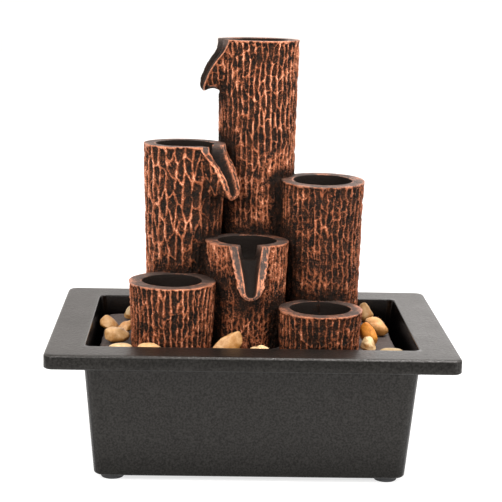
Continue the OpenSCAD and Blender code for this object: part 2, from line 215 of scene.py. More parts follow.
def carve(obj, cutter):
    """Cuts the closed mesh cutter out of obj and deletes the cutter."""
    modifier = obj.modifiers.new("carve", "BOOLEAN")
    modifier.operation = "DIFFERENCE"
    modifier.solver = "EXACT"
    modifier.object = cutter
    bpy.context.view_layer.update()
    depsgraph = bpy.context.evaluated_depsgraph_get()
    result = bpy.data.meshes.new_from_object(obj.evaluated_get(depsgraph))
    obj.modifiers.clear()
    obj.data = result
    bpy.data.objects.remove(cutter)
    smooth_faces(obj.data)


def block(name, low, high):
    """A plain closed box, used only as a cutter."""
    x, y, z = zip(low, high)
    verts = [(a, b, c) for c in z for b in y for a in x]
    faces = [(0, 2, 3, 1), (4, 5, 7, 6), (0, 1, 5, 4), (2, 6, 7, 3), (0, 4, 6, 2), (1, 3, 7, 5)]
    return make_mesh(name, verts, faces, smooth=False)


def rod(name, x, y, radius, low, high, count=48):
    """A plain closed upright cylinder, used only as a cutter."""
    return make_mesh(name, *loft([ring(radius, low, count, x, y), ring(radius, high, count, x, y)]))


# ---------------- materials

RANGE_SOCKETS = ("Value", "From Min", "From Max", "To Min", "To Max")


class Nodes:
    """A short way to build one material's node tree."""

    def __init__(self, name):
        self.material = bpy.data.materials.new(name)
        self.material.use_nodes = True
        self.tree = self.material.node_tree
        self.shader = self.tree.nodes["Principled BSDF"]

    def fill(self, socket, value):
        if isinstance(value, bpy.types.NodeSocket):
            self.tree.links.new(value, socket)
        else:
            socket.default_value = value

    def add(self, kind, inputs=None, **settings):
        node = self.tree.nodes.new(kind)
        for key, value in settings.items():
            setattr(node, key, value)
        for key, value in (inputs or {}).items():
            self.fill(node.inputs[key], value)
        return node

    def put(self, **inputs):
        """Sets or links the shader's own sockets. Spaces in their names are written _."""
        for key, value in inputs.items():
            self.fill(self.shader.inputs[key.replace("_", " ")], value)

    def spot(self):
        """Object coordinates, in metres."""
        return self.add("ShaderNodeTexCoord").outputs["Object"]

    def noise(self, scale, detail, rough):
        inputs = {"Vector": self.spot(), "Scale": scale, "Detail": detail, "Roughness": rough}
        return self.add("ShaderNodeTexNoise", inputs).outputs["Fac"]

    def value(self, name):
        return self.add("ShaderNodeAttribute", attribute_name=name).outputs["Fac"]

    def maths(self, operation, a, b):
        return self.add("ShaderNodeMath", {0: a, 1: b}, operation=operation).outputs[0]

    def ramp(self, value, low, high, to_low=0.0, to_high=1.0):
        inputs = dict(zip(RANGE_SOCKETS, (value, low, high, to_low, to_high)))
        return self.add("ShaderNodeMapRange", inputs, clamp=True).outputs["Result"]

    def mix(self, factor, a, b):
        a, b = (c if isinstance(c, bpy.types.NodeSocket) else (*c, 1.0) for c in (a, b))
        return self.add("ShaderNodeMix", {0: factor, 6: a, 7: b}, data_type="RGBA").outputs[2]

    def bump(self, height, distance, strength, below=None):
        inputs = {"Height": height, "Distance": distance, "Strength": strength}
        if below is not None:
            inputs["Normal"] = below
        return self.add("ShaderNodeBump", inputs).outputs["Normal"]


def bark_material():
    """Cast resin painted near-black brown, with copper brushed on the raised bark."""
    n = Nodes("bronze_bark")
    copper, crevice = n.value("copper"), n.value("crevice")
    smooth, wet = n.value("smooth"), n.value("wet")
    grain = n.noise(1250, 4, 0.7)
    blotch = n.noise(260, 3, 0.6)
    speck = n.noise(2600, 2, 0.6)
    patch = n.noise(105, 2, 0.55)
    # brushed paint breaks up along the ridges
    broken = n.maths("ADD", copper, n.ramp(grain, 0.3, 0.7, -0.42, 0.34))
    broken = n.maths("ADD", broken, n.ramp(blotch, 0.3, 0.7, -0.20, 0.16))
    broken = n.maths("ADD", broken, n.ramp(patch, 0.34, 0.66, -0.22, 0.20))
    brushed = n.ramp(broken, 0.28, 0.80)
    # painted glints: the brightest copper specks turn pale pink
    painted_glint = n.ramp(n.maths("ADD", broken, n.ramp(speck, 0.35, 0.65, -0.28, 0.28)), 0.92, 1.34)
    recess = n.mix(n.ramp(grain, 0.35, 0.65), (0.0035, 0.0027, 0.0019), (0.0175, 0.0128, 0.0095))
    wash = n.mix(n.ramp(blotch, 0.42, 0.62), recess, (0.036, 0.0145, 0.0075))
    flecks = n.maths("MULTIPLY", n.ramp(grain, 0.57, 0.64), n.ramp(blotch, 0.4, 0.6, 0.15, 0.75))
    wash = n.mix(flecks, wash, (0.36, 0.115, 0.048))
    coat = n.mix(n.ramp(blotch, 0.3, 0.7), (0.40, 0.125, 0.050), (0.285, 0.072, 0.024))
    coat = n.mix(painted_glint, coat, (1.0, 0.46, 0.27))
    bark = n.mix(brushed, wash, coat)
    rim = n.mix(n.ramp(blotch, 0.35, 0.65), (0.050, 0.032, 0.025), (0.092, 0.060, 0.048))
    rim = n.mix(n.ramp(broken, 0.42, 0.9), rim, (0.56, 0.225, 0.125))
    colour = n.mix(smooth, bark, rim)
    colour = n.mix(wet, colour, (0.0150, 0.0110, 0.0090))
    # painted shade: the colour goes towards near-black between logs, in the cups and in the channels
    colour = n.mix(n.ramp(crevice, 0, 1, 0, 0.6), colour, (0.009, 0.007, 0.006))
    rough = n.ramp(brushed, 0, 1, 0.55, 0.36)
    rough = n.maths("SUBTRACT", rough, n.maths("MULTIPLY", wet, 0.15))
    # less shine in wet places, and painted shade dims it between logs and in hollows
    shine = n.maths("MULTIPLY", n.ramp(n.maths("ADD", brushed, smooth), 0, 1, 0.10, 0.32),
                    n.ramp(n.maths("MAXIMUM", crevice, wet), 0, 1, 1.0, 0.35))
    fine = n.bump(speck, 0.00014, 0.8)
    n.put(Base_Color=colour, Roughness=n.maths("ADD", rough, n.ramp(grain, 0, 1, -0.08, 0.1)),
          Metallic=n.maths("MULTIPLY", brushed, 0.35), Specular_IOR_Level=shine,
          Normal=n.bump(grain, 0.0007, 0.8, fine))
    return n.material


def plastic_material(name, colour, rough, grain_scale=2600, depth=0.00003):
    """Moulded plastic with a fine spark-eroded texture and a little uneven sheen."""
    n = Nodes(name)
    grain = n.noise(grain_scale, 2, 0.5)
    cloud = n.noise(38, 3, 0.55)
    pale = tuple(c * 1.25 for c in colour)
    n.put(Base_Color=n.mix(n.ramp(cloud, 0.35, 0.65), colour, pale),
          Roughness=n.ramp(cloud, 0.3, 0.7, rough - 0.05, rough + 0.06),
          Normal=n.bump(grain, depth, 0.6))
    return n.material


def deck_material():
    """Matt brown-grey casting with a pitted, slightly mottled face."""
    n = Nodes("deck_resin")
    pits = n.noise(700, 5, 0.65)
    cloud = n.noise(60, 4, 0.6)
    colour = n.mix(n.ramp(cloud, 0.3, 0.7), (0.050, 0.037, 0.033), (0.088, 0.067, 0.060))
    colour = n.mix(n.ramp(pits, 0.55, 0.75, 0, 0.5), colour, (0.035, 0.026, 0.023))
    n.put(Base_Color=colour, Roughness=n.ramp(pits, 0.3, 0.7, 0.62, 0.82),
          Normal=n.bump(pits, 0.0005, 0.7))
    return n.material


def pebble_material():
    """Water-worn stone: each pebble's tint comes from its mesh, veins and flecks from noise."""
    n = Nodes("river_pebble")
    warm, pale = n.value("warm"), n.value("pale")
    vein = n.noise(300, 5, 0.65)
    fleck = n.noise(1900, 3, 0.65)
    cream = n.mix(n.ramp(vein, 0.3, 0.7), (0.53, 0.34, 0.145), (0.76, 0.56, 0.33))
    amber = n.mix(n.ramp(vein, 0.35, 0.7), (0.60, 0.165, 0.010), (0.80, 0.33, 0.045))
    tan = n.mix(n.ramp(vein, 0.3, 0.7), (0.22, 0.14, 0.060), (0.39, 0.285, 0.15))
    colour = n.mix(warm, n.mix(pale, tan, cream), amber)
    colour = n.mix(n.ramp(fleck, 0.58, 0.70, 0, 0.5), colour, (0.22, 0.115, 0.045))
    # painted shade: the sides and underside darken to orange-brown
    normal = n.add("ShaderNodeNewGeometry").outputs["Normal"]
    upward = n.add("ShaderNodeSeparateXYZ", {0: normal}).outputs[2]
    side_shade = n.ramp(n.maths("ADD", upward, n.ramp(vein, 0.3, 0.7, -0.45, 0.35)), 0.50, -0.40, 0, 0.85)
    colour = n.mix(side_shade, colour, (0.36, 0.145, 0.025))
    n.put(Base_Color=colour, Roughness=n.ramp(fleck, 0.3, 0.7, 0.36, 0.5),
          Specular_IOR_Level=0.35, Normal=n.bump(vein, 0.0005, 0.45, n.bump(fleck, 0.0001, 0.6)))
    return n.material


def rubber_material(name, colour=(0.018, 0.018, 0.019)):
    """Soft matt rubber."""
    n = Nodes(name)
    grain = n.noise(1800, 3, 0.6)
    n.put(Base_Color=n.mix(n.ramp(grain, 0.3, 0.7), colour, tuple(c * 1.7 for c in colour)),
          Roughness=n.ramp(grain, 0.3, 0.7, 0.62, 0.8), Normal=n.bump(grain, 0.00006, 0.6))
    return n.material


def metal_material(name, colour, rough, bands=None):
    """Metal with fine grain, or with bands where it is laminated or wound."""
    n = Nodes(name)
    grain = n.noise(1500, 3, 0.6)
    normal = n.bump(grain, 0.00004, 0.5)
    if bands:
        wave = n.add("ShaderNodeTexWave", {"Vector": n.spot(), "Scale": bands}, bands_direction="X")
        normal = n.bump(wave.outputs["Fac"], 0.00018, 0.8, normal)
    dark = tuple(c * 0.6 for c in colour)
    n.put(Base_Color=n.mix(n.ramp(grain, 0.3, 0.7), dark, colour), Metallic=0.9,
          Roughness=n.ramp(grain, 0.3, 0.7, rough, rough + 0.15), Normal=normal)
    return n.material


def hose_material():
    """Soft translucent PVC."""
    n = Nodes("hose_pvc")
    cloud = n.noise(120, 3, 0.6)
    n.put(Base_Color=n.mix(cloud, (0.62, 0.66, 0.65), (0.78, 0.80, 0.78)),
          Roughness=n.ramp(cloud, 0.3, 0.7, 0.22, 0.34), Transmission_Weight=0.6, IOR=1.5)
    return n.material


# ---------------- logs

CUP_R = 16.2
CUP_DEPTH = 13.0
CUP_FLOOR = 5.0
CUP_BACK = 1.0                        # the cups lie a little behind their logs' axes
CORE_R = 15.5
MIN_CORE_H = 3                        # a core lower than this is left solid
BARK_DEPTH = 1.5
NIPPLE_R = 4.05

# A spout with a drop of 27, by how far below the rim: half its width, its face's distance
# from the log's axis, half the width of its channel, and where the channel's floor is
SPOUT_DROP = 27.0
SPOUT_HALF = [(0, 11.2), (5.3, 9.9), (10.5, 8.7), (15.9, 7.6), (21, 6.5), (23.6, 5.4),
              (25.4, 3.8), (26.5, 2.1), (27, 0.3)]
SPOUT_FACE = [(0, 22.7), (2, 22.9), (5.3, 24.2), (10.5, 28.0), (15.9, 31.4), (21, 33.6),
              (24, 34.2), (25.6, 34.0), (26.6, 33.4), (27, 32.8)]
CHANNEL_HALF = [(0, 6.5), (6, 5.4), (11.7, 4.35), (17.6, 3.5), (21.3, 3.1), (23.4, 2.7),
                (24.4, 2.1), (25.1, 1.3), (25.5, 0.4)]
FLOOR_OUT = [(0, 20.0), (5.4, 21.7), (10.8, 24.7), (16.2, 27.8), (21.6, 30.5), (27, 32.4)]
FLOOR_DOWN = [(0, 7.6), (5.4, 10.6), (10.8, 14.9), (16.2, 19.0), (21.6, 22.8), (27, 26.5)]
NOTCH_DEPTH = 7.6                     # how far the cup's wall is cut down at the channel

# at: the log's axis. rim_r, foot_r: radius at the rim and on the deck. aim: the spout's
# direction in degrees from +X. drop, short: how far the spout hangs down, and how much
# less far out it reaches. tilt: how much higher the rim's front is than its back. cell:
# width and height of the bark's cells. wild: how crooked they are. thick: how wide the
# ridges are. fine: how much fine bark there is, most of it below fine_from above the
# deck. lip: how barky the spout's lips are. copper: how much copper is brushed on.
LOG_KEYS = ("at", "rim_r", "foot_r", "aim", "drop", "short", "tilt",
            "cell", "wild", "thick", "fine", "fine_from", "lip", "copper", "seed")
LOG_ROWS = {
    "tall_log": ((2.5, 28.0), 22.1, 20.7, 192, 28.4, 2.2, 0.6,
                 (3.3, 8.4), 0.30, 0.86, 1.0, 100, 0.0, 1.09, 11),
    "upper_left_log": ((-37.2, 9.0), 22.3, 19.3, -38, 28.4, 0.0, 0.9,
                       (4.9, 11.5), 0.42, 1.35, 0.5, 60, 0.9, 1.08, 23),
    "right_log": ((38.3, 9.0), 22.8, 20.8, None, 0, 0, -1.4,
                  (3.3, 8.6), 0.32, 0.82, 0.7, 60, 0, 0.85, 37),
    "centre_log": ((-3.0, -11.0), 22.4, 20.7, -87, 26.6, 0.0, 0.9,
                   (3.1, 6.5), 0.42, 0.85, 0.9, 60, 0.25, 0.97, 41),
    "left_front_log": ((-42.4, -30.0), 23.0, 21.2, None, 0, 0, 0.2,
                       (3.1, 17.0), 0.24, 0.9, 0.6, 12, 0, 1.02, 53),
    "right_front_log": ((36.1, -30.0), 22.3, 20.9, None, 0, 0, 0.3,
                        (3.5, 13.0), 0.26, 0.8, 0.65, 6, 0, 0.88, 67),
}
LOGS = {name: dict(zip(LOG_KEYS, row)) for name, row in LOG_ROWS.items()}
DECK_TOP = box_mm("deck")[1][2]


def log_radius(spec, down, height):
    """A log's radius this far below its rim."""
    return spec["rim_r"] + (spec["foot_r"] - spec["rim_r"]) * down / height


def bark_height(x, down, height, spec):
    """Bark relief from -1 at a cell's floor to 0 on a ridge, for distances round and down."""
    def noise(number, round_waves, shortest, waves=14):
        return wave_noise(seed + number, x, down, round_waves, shortest, waves)

    (cell_w, cell_h), seed = spec["cell"], spec["seed"]
    bend = 0.4 * noise(1, 5, 22) + 0.25 * noise(2, 40, 4)
    sway = 1.6 * noise(3, 24, 30)
    big = cell_edges(seed, x + bend, down + sway, cell_w, cell_h, spec["wild"], 0.24, 1.45, 0.10)
    small = cell_edges(seed + 5, x + bend * 1.5, down + sway, 2.0, 3.0)
    broad = spec["thick"] + 0.3 * noise(4, 16, 7)
    ridge = 1 - smoothstep(0.05, np.clip(broad, 0.5, 1.6), big)
    minor = 1 - smoothstep(0.05, 0.6, small)
    lower = smoothstep(spec["fine_from"] + 22, spec["fine_from"] - 18, height - down)
    share = np.clip(0.22 + spec["fine"] * (0.42 * lower + 0.26 * noise(6, 6, 20)), 0.08, 0.85)
    tired = 1 - 0.34 * smoothstep(-0.2, 1.2, noise(7, 26, 6))
    relief = np.maximum(ridge * tired, minor * share)
    return -(1 - relief) + 0.12 * noise(8, 60, 2.0, 24) * (1 - 0.5 * relief)


def spout_rows(step):
    """How far down each row of a spout is, evenly spaced along its outline."""
    down = np.linspace(0, SPOUT_DROP, 400)
    half = curve(down, SPOUT_HALF)
    run = np.append(0, np.cumsum(np.hypot(np.diff(down), np.diff(half))))
    return np.interp(np.arange(0, run[-1], step), run, down)


def round_slice(radius, across):
    """How far out a circle of this radius is, this far across from its middle."""
    return np.sqrt(np.maximum(radius ** 2 - across ** 2, 0))


class Skin:
    """Points on one log, kept as (out, across, below) about its own axis and rim."""

    LOOKS = ("copper", "crevice", "smooth", "wet")

    def __init__(self, name):
        self.name, self.spec = name, LOGS[name]
        self.top = box_mm(name)[1][2]
        self.height = self.top - DECK_TOP
        self.turn = math.radians(90 if self.spec["aim"] is None else self.spec["aim"])
        self.spouted = self.spec["aim"] is not None
        self.points, self.count = [], 0
        self.looks = {key: [] for key in self.LOOKS}

    def world(self, local):
        """Local points in the scene's frame, with the rim's tilt."""
        out, across, below = local[..., 0], local[..., 1], local[..., 2]
        c, s = math.cos(self.turn), math.sin(self.turn)
        x, y = out * c - across * s, out * s + across * c
        tilt = self.spec["tilt"]
        lean = 0.5 * (abs(tilt) + tilt * y / self.spec["rim_r"]) * np.clip(1 - below / 40, 0, 1)
        return np.stack([self.spec["at"][0] + x, self.spec["at"][1] + y, self.top - below - lean], -1)

    def crevice(self, local):
        """How deep points lie between logs, which sets the painted shade there, and how far the
        casting's web fills the gap, 0 to 1.
        """
        points = self.world(local)
        z = points[..., 2]
        shade = bulge = np.zeros(z.shape)
        for other, spec in LOGS.items():
            if other == self.name:
                continue
            top = box_mm(other)[1][2]
            height = top - DECK_TOP
            gap = np.hypot(points[..., 0] - spec["at"][0], points[..., 1] - spec["at"][1])
            gap = gap - log_radius(spec, np.clip(top - z, 0, height), height)
            shade = np.maximum(shade, smoothstep(9.5, 1.0, gap) * smoothstep(top + 9, top - 2, z))
            bulge = np.maximum(bulge, smoothstep(4.5, 0.3, gap) * smoothstep(top + 0.5, top - 3, z))
        return shade, bulge

    def add(self, out, across, below, **looks):
        """Adds points and returns their numbers."""
        local = np.stack(np.broadcast_arrays(out, across, below), -1).astype(float)
        shape = local.shape[:-1]
        self.points.append(local.reshape(-1, 3))
        for key in self.LOOKS:
            self.looks[key].append(np.broadcast_to(looks.get(key, 0.0), shape).ravel())
        first, self.count = self.count, self.count + int(np.prod(shape))
        return np.arange(first, self.count).reshape(shape)

    def local(self, ids):
        """The local coordinates of points already added."""
        return np.concatenate(self.points)[ids].T

    def mesh(self, faces):
        looks = {key: np.concatenate(parts) for key, parts in self.looks.items()}
        return make_mesh(self.name + "_bark", self.world(np.concatenate(self.points)), faces, looks)


def trunk_skin(skin, down, half, step):
    """The barked outside, from one side of the spout round the back to the other."""
    spec, height = skin.spec, skin.height
    count = int(AROUND / step)
    radius = log_radius(spec, down, height)[:, None]
    side = np.arcsin(half[:, None] / radius)
    part = np.linspace(0, 1, count + 1)[None, :]
    angle = side + (2 * np.pi - 2 * side) * (part if skin.spouted else part[:, :-1])
    below = np.broadcast_to(down[:, None], angle.shape)
    x = angle * PATTERN_R
    relief = bark_height(x, below, height, spec)
    wobble = np.clip(wave_noise(spec["seed"] + 9, x, below, 4, 40), -1, 1)
    lip = below + 0.45 * wave_noise(spec["seed"] + 10, x, 0 * x, 44, 9)
    bare = np.stack([radius * np.cos(angle), radius * np.sin(angle), below], -1)
    shade, web = skin.crevice(bare)
    if skin.spouted:
        # painted shadow in the hollow under the spout's tip, on the trunk below it
        round_mm = np.minimum(angle, 2 * np.pi - angle) * PATTERN_R
        under = smoothstep(12, 4, round_mm) * smoothstep(spec["drop"] + 16, spec["drop"] + 2, below)
        shade = np.maximum(shade, 0.85 * under)
    under_rim = smoothstep(0.6, 1.9, lip)
    depth = BARK_DEPTH * (1 - 0.3 * shade)
    outer = radius + relief * depth * under_rim + 0.2 * wobble + 1.6 * web * under_rim
    # copper brushed on the ridges, fading where logs crowd together: partly the brush missing there,
    # partly painted shade
    copper = np.clip(1 + relief * 1.15, 0, 1) * (1 - 0.88 * shade)
    copper = np.maximum(copper, smoothstep(1.3, 0.5, lip) * (1 - 0.8 * shade)) * spec["copper"]
    return skin.add(outer * np.cos(angle), outer * np.sin(angle), below, copper=copper,
                    crevice=shade, smooth=smoothstep(0.35, 0.1, lip))


def spout_skin(skin, beak, half, trunk):
    """The spout's two side walls and its face, in rows that start and end on the trunk."""
    spec, seed, lip = skin.spec, skin.spec["seed"], skin.spec["lip"]
    scale = spec["drop"] / SPOUT_DROP
    wall_n, face_n = 22, 44
    rows = np.arange(len(beak))
    q = (beak / scale)[:, None]
    below = beak[:, None]
    half = half[rows][:, None]
    radius = log_radius(spec, below, skin.height)
    # at the rim the lips follow the log's round, lower down they are flat
    to_flat = smoothstep(12, 0, q)
    shorter = spec["short"] * smoothstep(0, 9, q)
    plane = curve(q, SPOUT_FACE) - shorter
    waver = wave_noise(seed + 16, below, 0 * below, 20, 9, period=40)
    half = half * (1 + 0.045 * waver * smoothstep(3, 8, q))
    frac = np.linspace(-1, 1, face_n + 1)[None, :]
    across = frac * half
    channel = np.maximum(curve(q, CHANNEL_HALF), 0.05)
    in_channel = np.clip(1 - np.abs(across / channel) ** 4, 0, 1) * smoothstep(25.6, 24.6, q)
    cells = cell_edges(seed + 20, across + 30, below + 0 * across, 3.3, 4.8)
    line = 1 - smoothstep(0.12, 0.62, cells)
    blot = wave_noise(seed + 13, across * 5, below, 30, 4)
    arch = (radius - round_slice(radius, across)) * to_flat
    lip_out = plane - arch - 0.6 * np.abs(frac) ** 10 - 0.5 * lip * (1 - line) * (1 - frac ** 6)
    lip_out = lip_out + 0.14 * wave_noise(seed + 12, across * 6, below, 30, 3)
    out = lip_out * (1 - in_channel) + (curve(q, FLOOR_OUT) - shorter) * in_channel
    down = below * (1 - in_channel) + curve(q, FLOOR_DOWN) * scale * in_channel
    edge = half - np.abs(across)
    if lip:
        copper = 0.36 + 0.44 * blot + 0.26 * smoothstep(8, 20, q)
        copper = np.maximum(copper * (1 - lip), lip * line)
        copper = np.maximum(copper, smoothstep(1.5, 0.6, edge + 0.6 * blot))
        copper = np.maximum(copper, 0.9 * smoothstep(0.9, 0.2, np.abs(np.abs(across) - channel - 0.2)))
    else:
        copper = 0.12 + 0.8 * smoothstep(0.8, 0.3, edge)
    bare = 0.0 if lip else smoothstep(0.3, 0.9, edge) * smoothstep(2, 6, q)
    # the channel gets painted shade, deepest near the cup
    face = skin.add(out, across, down, copper=copper * (1 - in_channel),
                    crevice=in_channel * smoothstep(20, 2, q),
                    smooth=(1 - in_channel) * (1 - 0.9 * lip * smoothstep(1.5, 4, q)) * (1 - bare),
                    wet=np.maximum(in_channel, 0.8 * bare))
    share = np.linspace(0, 1, wall_n + 1)[None, 1:-1]
    root = round_slice(radius, half) - 0.3
    edge = plane - 0.6 - (radius - round_slice(radius, half)) * to_flat
    reach = root + (edge - root) * share
    walls = []
    for sign in (-1, 1):
        along = sign * (np.arcsin(half / radius) * PATTERN_R - (reach - root))
        bark = bark_height(along, below + 0 * along, skin.height, spec)
        fade = smoothstep(1.0, 0.82, share) * smoothstep(0.5, 1.8, below) * smoothstep(0, 0.12, share)
        sink = bark * fade * smoothstep(0.4, 3.0, half)
        keel = 1.3 * np.sin(np.pi * share) * smoothstep(23, 27, q)
        tint = np.maximum(np.clip(1 + bark * 1.2, 0, 1), smoothstep(0.86, 0.97, share))
        tint = tint * smoothstep(27.2, 24.5, q)
        local = np.stack(np.broadcast_arrays(reach, sign * (half + sink), below - keel), -1)
        # less copper and painted shade where the walls lie close to other logs
        dim = skin.crevice(local)[0]
        walls.append(skin.add(local[..., 0], local[..., 1], local[..., 2],
                              copper=tint * (1 - 0.8 * dim), crevice=dim))
    return np.concatenate([trunk[rows, -1:], walls[0], face, walls[1][:, ::-1], trunk[rows, :1]], 1)


def make_log(name, step, row_step):
    """One bark log with its rim, cup and hollow, and a spout if it has one.

    step is the mesh's spacing round the log and row_step its spacing down it.
    """
    skin = Skin(name)
    spec, seed, height = skin.spec, skin.spec["seed"], skin.height
    scale = spec["drop"] / SPOUT_DROP
    beak = spout_rows(step * 1.25) * scale if skin.spouted else np.zeros(1)
    down = np.linspace(spec["drop"], height, int((height - spec["drop"]) / row_step))
    down = np.concatenate([beak, down[1:]])
    if skin.spouted:
        half = np.where(down <= spec["drop"], curve(down / scale, SPOUT_HALF), 0.3)
        trunk = trunk_skin(skin, down, half, step)
        rows = spout_skin(skin, beak, half, trunk)
        faces = sheet(rows)
        tip = rows[-1]
        for k in range(len(tip) // 2):
            a, b, c, d = tip[k], tip[k + 1], tip[-2 - k], tip[-1 - k]
            faces.append([a, b, c, d] if b != c else [a, b, d])
        faces += sheet(trunk)
        # below the spout the trunk's two ends meet
        for k in range(len(beak) - 1, len(down) - 1):
            faces.append([trunk[k, -1], trunk[k, 0], trunk[k + 1, 0], trunk[k + 1, -1]])
        top_row = np.concatenate([trunk[0], rows[0][1:-1]])
    else:
        trunk = trunk_skin(skin, down, 0 * down, step)
        faces = sheet(trunk, True)
        top_row = trunk[0]

    # rim, cup wall and cup floor, ring by ring
    out0, across0, below0 = skin.local(top_row)
    polar, reach0 = np.arctan2(across0, out0), np.hypot(out0, across0)
    notch = np.clip(1 - np.abs(across0 / CHANNEL_HALF[0][1]) ** 4, 0, 1) * (out0 > 0) * skin.spouted
    level = 1 - notch
    cup_edge = CUP_R + 0.3 * wave_noise(seed + 14, polar * PATTERN_R, 0 * polar, 5, 40)
    cup_edge = cup_edge + CUP_BACK * np.cos(polar - math.pi / 2 + skin.turn)
    bump = wave_noise(seed + 15, polar * PATTERN_R, 0 * polar, 7, 40)

    def ring_at(r, below, angle=polar, **looks):
        return skin.add(r * np.cos(angle), r * np.sin(angle), below + 0 * angle, **looks)

    rings = []
    notch_down = NOTCH_DEPTH * scale * notch
    for f in np.linspace(0, 1, 10)[1:]:
        r = reach0 + (cup_edge - reach0) * f
        swell = (0.12 + 0.12 * bump) * math.sin(math.pi * f) * level
        below = below0 * (1 - f) + (notch_down + 0.1 * level) * f + np.maximum(-swell, 0)
        local = np.stack([r * np.cos(polar), r * np.sin(polar), below], -1)
        edge = 0.45 * (1 - f) ** 2 + 0.45 * smoothstep(0.8, 1.0, f) * np.clip(0.5 + bump, 0, 1)
        # painted shade on the rim next to other logs, and in the notch
        dim = np.maximum(0.6 * skin.crevice(local)[0] * level, notch)
        rings.append(ring_at(r, below, copper=level * (0.27 + edge + 0.12 * bump), crevice=dim,
                             smooth=level, wet=notch))
    lip_down = notch_down + 0.1 * level
    # the cup's wall is wet, with painted shade that deepens towards its floor
    for f in (0.04, 0.12, 0.25, 0.42, 0.58, 0.74, 0.86, 0.94, 1.0):
        below = lip_down + (CUP_DEPTH - lip_down) * f
        r = cup_edge - 0.35 * min(f / 0.12, 1) - 0.6 * f - 1.6 * max(0.0, (f - 0.8) / 0.2) ** 2
        rings.append(ring_at(r, below, wet=1.0, crevice=np.maximum(0.3 + 0.5 * f, notch)))
    hole_r = NIPPLE_R if name == "tall_log" else 1.5
    # the cup's floor is wet and in painted shade
    for f in (0.2, 0.45, 0.7, 1.0):
        r = (cup_edge - 2.6) * (1 - f) + hole_r * f
        rings.append(ring_at(r, CUP_DEPTH + 0.02, wet=1.0, crevice=0.8))
    for above, ids in zip([top_row, *rings], rings):
        faces += strip(closed(ids), closed(above))

    # underside: a flat foot, then the hollow core up to the cup's floor, all with painted shade
    core_top = CUP_DEPTH + CUP_FLOOR
    low_out, low_across, _ = skin.local(trunk[-1])
    low_polar = np.arctan2(low_across, low_out)
    profile = [(CORE_R, height), (CORE_R, core_top), (hole_r, core_top)]
    if height - core_top <= MIN_CORE_H:
        profile = [(CORE_R, height), (hole_r, height)]
    under = [ring_at(r, below, low_polar, crevice=0.8) for r, below in profile]
    faces += sheet([trunk[-1], *under], True)
    if name == "tall_log":
        # the nipple's hole, with painted shade, joins the hollow to the cup; both ends are rings of
        # many points
        wall = ring_at(NIPPLE_R, core_top, crevice=0.8)
        faces += strip(closed(wall), closed(rings[-1]))
        faces += bridge(under[-1], low_polar, wall, polar)
    else:
        faces += [rings[-1][::-1].tolist(), under[-1].tolist()]
    return skin.mesh(faces)


def bridge(row_a, angle_a, row_b, angle_b):
    """Triangles between two rings on one circle that have different numbers of points."""
    order_a, order_b = np.argsort(angle_a), np.argsort(angle_b)
    ra, aa = row_a[order_a], angle_a[order_a]
    rb, ab = row_b[order_b], angle_b[order_b]
    faces, i, j = [], 0, 0
    na, nb = len(ra), len(rb)
    while i < na or j < nb:
        next_a = aa[(i + 1) % na] + 2 * np.pi * ((i + 1) // na) if i < na else np.inf
        next_b = ab[(j + 1) % nb] + 2 * np.pi * ((j + 1) // nb) if j < nb else np.inf
        if next_a <= next_b:
            faces.append([int(ra[i % na]), int(ra[(i + 1) % na]), int(rb[j % nb])])
            i += 1
        else:
            faces.append([int(ra[i % na]), int(rb[(j + 1) % nb]), int(rb[j % nb])])
            j += 1
    return faces


def build_logs():
    bark = bark_material()
    coarse = 1.0
    for name in LOGS:
        step, row_step = (0.46, 0.78) if name == "tall_log" else (0.42, 0.6)
        place(make_log(name, step * coarse, row_step * coarse), bark, "sculpture", name)


# ---------------- basin and feet

NOTCH_LOW, NOTCH_HIGH = 26.0, 34.0    # the cord notch's sides, in the rim and in the deck


def basin_material():
    """Black moulded plastic: satin and grainy outside, smoother and darker inside."""
    n = Nodes("basin_plastic")
    inside = n.value("inside")
    grain = n.noise(1000, 2, 0.6)
    fine = n.noise(3200, 2, 0.5)
    cloud = n.noise(34, 3, 0.55)
    outer = n.mix(n.ramp(grain, 0.38, 0.62), (0.0020, 0.0019, 0.0015), (0.0050, 0.0047, 0.0038))
    rough = n.ramp(cloud, 0.3, 0.7, 0.33, 0.39)
    # the plastic reflects a little unevenly from grain to grain, and less inside; the mesh's sheen
    # values add painted shade and a painted highlight
    sheen = n.maths("MULTIPLY", n.ramp(grain, 0.36, 0.64, 0.36, 0.59), n.value("sheen"))
    relief = n.maths("SUBTRACT", 0.65, n.maths("MULTIPLY", inside, 0.6))
    texture = n.bump(n.noise(480, 2, 0.6), 0.0003, relief, n.bump(fine, 0.00006, 0.6))
    n.put(Base_Color=n.mix(inside, outer, (0.0016, 0.0012, 0.0012)),
          Roughness=n.maths("SUBTRACT", rough, n.maths("MULTIPLY", inside, 0.15)),
          IOR=1.42, Specular_IOR_Level=sheen, Specular_Tint=(1.0, 0.96, 0.93, 1.0),
          Normal=n.bump(grain, 0.00028, relief, texture))
    return n.material


